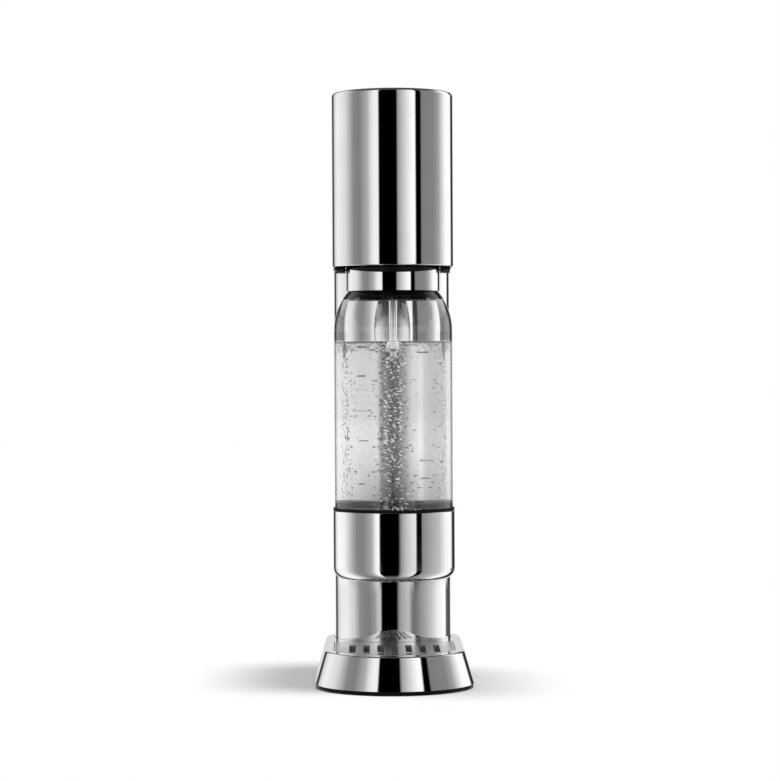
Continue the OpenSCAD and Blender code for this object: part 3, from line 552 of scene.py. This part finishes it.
def hose_path():
    """The CAD hose's route: straight out of the outlet, one bend, straight into the inlet."""
    hose_low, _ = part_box("gas_hose")
    outlet_low, outlet_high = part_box("outlet_fitting")
    start = Vector((hose_low.x + HOSE_R, outlet_low.y, (outlet_low.z + outlet_high.z) / 2))
    end = Vector((0, bottle_axis, hose_low.z))
    out = Vector((0, -2 * HOSE_R, 0))
    up = Vector((0, 0, 2 * HOSE_R))
    reach = HOSE_REACH / (2 * HOSE_R)
    bend = (start + out, start + out + reach * out, end + up + reach * up, end + up)
    path = [start]
    for i in range(HOSE_STEPS + 1):
        t = i / HOSE_STEPS
        weights = ((1 - t) ** 3, 3 * t * (1 - t) ** 2, 3 * t * t * (1 - t), t ** 3)
        path.append(sum((w * p for w, p in zip(weights, bend)), Vector()))
    return path + [end]


def tube_points(path, radius, sides):
    """Rings of points square to a path."""
    points = []
    side = Vector((1, 0, 0))
    for i, place in enumerate(path):
        ahead = (path[min(i + 1, len(path) - 1)] - path[max(i - 1, 0)]).normalized()
        side = (side - side.dot(ahead) * ahead).normalized()
        up = ahead.cross(side)
        for k in range(sides):
            turn = math.tau * k / sides
            points.append(place + radius * (math.cos(turn) * side + math.sin(turn) * up))
    return points


def make_hose():
    path = hose_path()
    points = tube_points(path, HOSE_R, HOSE_SIDES)
    faces = capped_faces(len(path), HOSE_SIDES)
    piece = add_mesh("braided_gas_hose", points, faces, braided_hose())
    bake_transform(piece)
    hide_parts("gas_hose")


# Springs: smooth coils in place of the CAD ones
SPRING_SIDES = 12
STEPS_PER_TURN = 32
SPRINGS = [
    {"node": "lever_spring", "wire": 1.2 * MM, "turns": 6, "joint": "lever_press", "travel": 4.0 * MM},
    {"node": "plunger_spring", "wire": 1.0 * MM, "turns": 3, "joint": "plunger_push", "travel": 1.9 * MM},
]


def spring_path(low, high, wire, turns):
    """Middle of the wire, for a coil that fills the box from low to high."""
    middle = (low + high) / 2
    radius = (high.x - low.x - wire) / 2
    steps = turns * STEPS_PER_TURN
    rise = (high.z - low.z - wire) / steps
    path = []
    for i in range(steps + 1):
        turn = math.tau * i / STEPS_PER_TURN
        aside = Vector((radius * math.cos(turn), radius * math.sin(turn), 0))
        path.append(Vector((middle.x, middle.y, low.z + wire / 2 + i * rise)) + aside)
    return path


def make_spring(node, wire, turns, joint, travel):
    low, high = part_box(node)
    path = spring_path(low, high, wire, turns)
    points = tube_points(path, wire / 2, SPRING_SIDES)
    faces = capped_faces(len(path), SPRING_SIDES)
    piece = add_mesh(node + "_coil", points, faces, FINISHES["plain_steel"])
    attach(piece, "machine")
    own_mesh(piece)
    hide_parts(node)


# Studio: what the metal mirrors, as degrees to the right of the camera and a brightness. The same lights
# and walls stand at each of three heights, with edges and levels of their own.
HIGH = [
    (-166, 0.72),                                                        # backdrop
    (-161, 0.02), (-151, 0.05),                                          # its dark edge
    (-144, 0.72), (-129, 0.97), (-102, 0.78),                            # left soft box
    (-80, 0.27), (-66, 0.23), (-49, 0.46),                               # left wall
    (-41, 0.83), (-34, 0.98), (-28, 0.95),                               # left strip light
    (-25.8, 0.0), (7, 0.0),                                              # dark room
    (10, 0.35), (37, 1.08), (42.5, 1.1),                                 # right strip light
    (44.5, 0.0), (54, 0.0),                                              # black flag
    (56.5, 0.22), (84, 0.25), (97, 0.38),                                # right wall
    (112, 0.88), (120, 1.08), (141, 1.1),                                # right soft box
    (147, 0.03), (161, 0.02),                                            # dark edge
    (166, 0.72),                                                         # backdrop
]
MIDDLE = [
    (-166, 0.72),
    (-161, 0.02), (-151, 0.05),
    (-142, 0.85), (-129, 1.08), (-109, 1.0), (-84, 0.40),
    (-75, 0.26), (-61, 0.24), (-46, 0.40),
    (-41, 0.56), (-36, 0.95), (-29.3, 1.11),
    (-27.3, 0.0), (8, 0.0),
    (13, 0.33), (20, 0.54), (40.5, 0.92),
    (42.5, 0.0), (52, 0.0),
    (54, 0.26), (94, 0.58),
    (113, 1.0), (134, 1.12),
    (145, 0.02), (161, 0.02),
    (166, 0.72),
]
LOW = [
    (-166, 0.72),
    (-161, 0.02), (-150, 0.08),
    (-142, 0.70), (-126, 0.92), (-106, 0.95), (-84, 0.67),
    (-70, 0.29), (-50, 0.22),
    (-37, 0.33), (-31, 0.55), (-25, 0.60),
    (-23, 0.0), (7, 0.0),
    (11, 0.26), (16, 0.40), (30, 0.56),
    (39, 0.17), (45, 0.19),
    (67, 0.42), (82, 0.61),
    (101, 0.98), (128, 1.15),
    (133, 0.14), (161, 0.05),
    (166, 0.72),
]
ALL_ROUND = 180
HIGH_TO_MIDDLE = (0.5, -2.5)     # degrees above the horizon
MIDDLE_TO_LOW = (-4.4, -4.8)
LOW_TO_MIDDLE = (-8, -10)
CEILING = (30, 50)
CEILING_LEVEL = 0.06
GROUND = (-40, -78)
GROUND_LEVEL = 0.2

# What is seen through the bottle. Water bends the rays, which come back from the column within a few
# degrees of the camera; through the empty dome the column and the nozzle mirror more of the room.
WATER = [
    (-16, 1.25), (-8, 0.85), (-4, 0.70), (-2.9, 0.85),       # left wall
    (-2.1, 1.28), (-0.7, 0.92),                              # strip light
    (0.35, 0.12), (0.7, 0.12), (1.15, 0.35),                 # dark camera
    (1.35, 0.97), (11, 1.3),                                 # right wall
]
WATER_UPPER_SHARE = 0.86         # of that brightness, near the water's surface
WATER_LOWER_SHARE = [            # and near the cup
    (-16, 0.8), (-6, 0.52), (-2, 0.6), (-0.5, 0.27), (1.2, 0.25), (4.4, 0.55), (16, 0.87),
]
DOME = [
    (-112, 0.05), (-100, 1.2), (-78, 1.2), (-70, 0.3),       # left soft box
    (-56, 0.4), (-38, 0.85), (-26, 0.78),                    # left wall
    (-14, 0.28), (15, 0.3),                                  # dark camera
    (26, 0.8), (36, 0.9), (56, 0.3),                         # right wall
    (70, 0.3), (78, 1.2), (100, 1.2), (112, 0.05),           # right soft box
]
WATER_HALF = 20
WATER_UPPER = (-1.07, -1.13)     # degrees above the horizon
WATER_LOWER = (-1.62, -3.1)
DOME_FROM = (0.60, 0.66)
DOME_TO = (12, 14)
DOME_SHADE = (1.0, 2.8)          # the upper part of the dome is dark in its middle
DOME_SHADE_LEVEL = 0.03
DOME_SHADE_HALF = 74
AMBIENT = 0.24                   # light on matt surfaces
WHITE = 1.0                      # what the camera sees behind the object, and beside the water


def direction(nodes):
    """Angles of a ray that leaves the scene: to the right of the camera, and above the horizon."""
    towards = nodes.add("ShaderNodeSeparateXYZ")
    nodes.put(nodes.add("ShaderNodeTexCoord").outputs["Generated"], towards.inputs[0])
    x, y, z = towards.outputs
    azimuth = nodes.calc("ARCTAN2", x, nodes.calc("MULTIPLY", y, -1.0))
    return nodes.calc("DEGREES", azimuth), nodes.calc("DEGREES", nodes.calc("ARCSINE", z))


def around(nodes, azimuth, stops, half):
    """Brightness at an azimuth, from stops that reach half degrees to each side."""
    place = nodes.fade(azimuth, -half, half, kind="LINEAR")
    return nodes.ramp(place, [(degrees / (2 * half) + 0.5, level) for degrees, level in stops])


def mirrored_light(nodes, azimuth, height):
    high = around(nodes, azimuth, HIGH, ALL_ROUND)
    middle = around(nodes, azimuth, MIDDLE, ALL_ROUND)
    low = around(nodes, azimuth, LOW, ALL_ROUND)
    level = nodes.mix(nodes.fade(height, *HIGH_TO_MIDDLE), high, middle)
    level = nodes.mix(nodes.fade(height, *MIDDLE_TO_LOW), level, low)
    level = nodes.mix(nodes.fade(height, *LOW_TO_MIDDLE), level, middle)
    level = nodes.mix(nodes.fade(height, *CEILING), level, CEILING_LEVEL)
    return nodes.mix(nodes.fade(height, *GROUND), level, GROUND_LEVEL)


def light_through_water(nodes, azimuth, height):
    level = around(nodes, azimuth, WATER, WATER_HALF)
    lower = around(nodes, azimuth, WATER_LOWER_SHARE, WATER_HALF)
    share = nodes.fade(height, *WATER_UPPER, WATER_UPPER_SHARE, 1.0)
    share = nodes.mix(nodes.fade(height, *WATER_LOWER), share, lower)
    aside = nodes.calc("GREATER_THAN", nodes.calc("ABSOLUTE", azimuth), WATER_HALF)
    return nodes.mix(aside, nodes.calc("MULTIPLY", level, share), WHITE)


def light_behind_dome(nodes, azimuth, height):
    level = around(nodes, azimuth, DOME, ALL_ROUND)
    middle = nodes.calc("LESS_THAN", nodes.calc("ABSOLUTE", azimuth), DOME_SHADE_HALF)
    shade = nodes.calc("MULTIPLY", middle, nodes.fade(height, *DOME_SHADE))
    return nodes.mix(shade, level, DOME_SHADE_LEVEL)


def at_dome(nodes, height):
    above = nodes.fade(height, *DOME_FROM)
    below = nodes.fade(height, *DOME_TO, 1.0, 0.0)
    return nodes.calc("MULTIPLY", above, below)


def make_world():
    world = bpy.data.worlds.new("studio")
    bpy.context.scene.world = world
    world.use_nodes = True
    world.node_tree.nodes.clear()
    nodes = Nodes(world.node_tree)
    azimuth, height = direction(nodes)
    mirrored = mirrored_light(nodes, azimuth, height)
    through = light_through_water(nodes, azimuth, height)
    dome = light_behind_dome(nodes, azimuth, height)
    through = nodes.mix(at_dome(nodes, height), through, dome)
    path = nodes.add("ShaderNodeLightPath").outputs
    level = nodes.mix(path["Is Glossy Ray"], AMBIENT, mirrored)
    level = nodes.mix(path["Is Transmission Ray"], level, through)
    level = nodes.mix(path["Is Camera Ray"], level, WHITE)
    background = nodes.add("ShaderNodeBackground")
    nodes.put((1.0, 1.0, 1.0, 1.0), background.inputs["Color"])
    nodes.put(level, background.inputs["Strength"])
    nodes.put(background.outputs[0], nodes.add("ShaderNodeOutputWorld").inputs["Surface"])


# Lamps for the matt surfaces; spread in degrees
SUNS = [
    {"name": "light_from_right", "towards": (-0.16, 0.036, -1.0), "strength": 1.65, "spread": 10},
    {"name": "light_from_left", "towards": (0.11, -0.052, -1.0), "strength": 0.95, "spread": 9},
]


def make_sun(name, towards, strength, spread):
    light = bpy.data.lights.new(name, "SUN")
    light.energy = strength
    light.angle = math.radians(spread)
    lamp = bpy.data.objects.new(name, light)
    bpy.context.scene.collection.objects.link(lamp)
    lamp.rotation_euler = Vector(towards).to_track_quat("-Z", "Y").to_euler()
    lamp.visible_glossy = False
    lamp.visible_transmission = False


# Floor and camera
FLOOR_COLOUR = (0.95, 0.95, 0.95)
FLOOR_HALF = 6.0
FLOOR_DROP = 0.05 * MM


def make_floor():
    finish = Finish("studio_floor", FLOOR_COLOUR, roughness=1.0)
    finish.set("Specular IOR Level", 0.0)
    h = FLOOR_HALF
    corners = [(x, y, -FLOOR_DROP) for x, y in ((-h, -h), (h, -h), (h, h), (-h, h))]
    floor = add_mesh("studio_floor", corners, [(0, 1, 2, 3)], finish.material)
    floor.visible_glossy = False
    floor.visible_transmission = False


def make_camera():
    data = bpy.data.cameras.new("photo_camera")
    data.sensor_fit = "HORIZONTAL"
    data.lens = data.sensor_width * FOCAL_PIXELS / PHOTO_W
    camera = bpy.data.objects.new("photo_camera", data)
    bpy.context.scene.collection.objects.link(camera)
    eye = Vector((-EYE_LEFT, bottle_axis - EYE_DISTANCE, EYE_HEIGHT))
    aim = Vector((-AIM_LEFT, bottle_axis, EYE_HEIGHT - AIM_BELOW_EYE))
    camera.location = eye
    camera.rotation_mode = "QUATERNION"
    camera.rotation_quaternion = (aim - eye).to_track_quat("-Z", "Y") @ Quaternion((0, 0, 1), ROLL)
    bpy.context.scene.camera = camera


bpy.context.scene.view_settings.view_transform = "Standard"
make_camera()
dress_cad_nodes()
make_water()
make_bubbles("rising_bubbles", ["rising"] * RISING + ["foam"] * UNDER_SURFACE, silver_bubble())
make_bubbles("wall_bubbles", ["wall"] * ON_WALL, air_bubble())
make_shoulder_ring()
make_hose()
for spring in SPRINGS:
    make_spring(**spring)
make_world()
for sun in SUNS:
    make_sun(**sun)
make_floor()
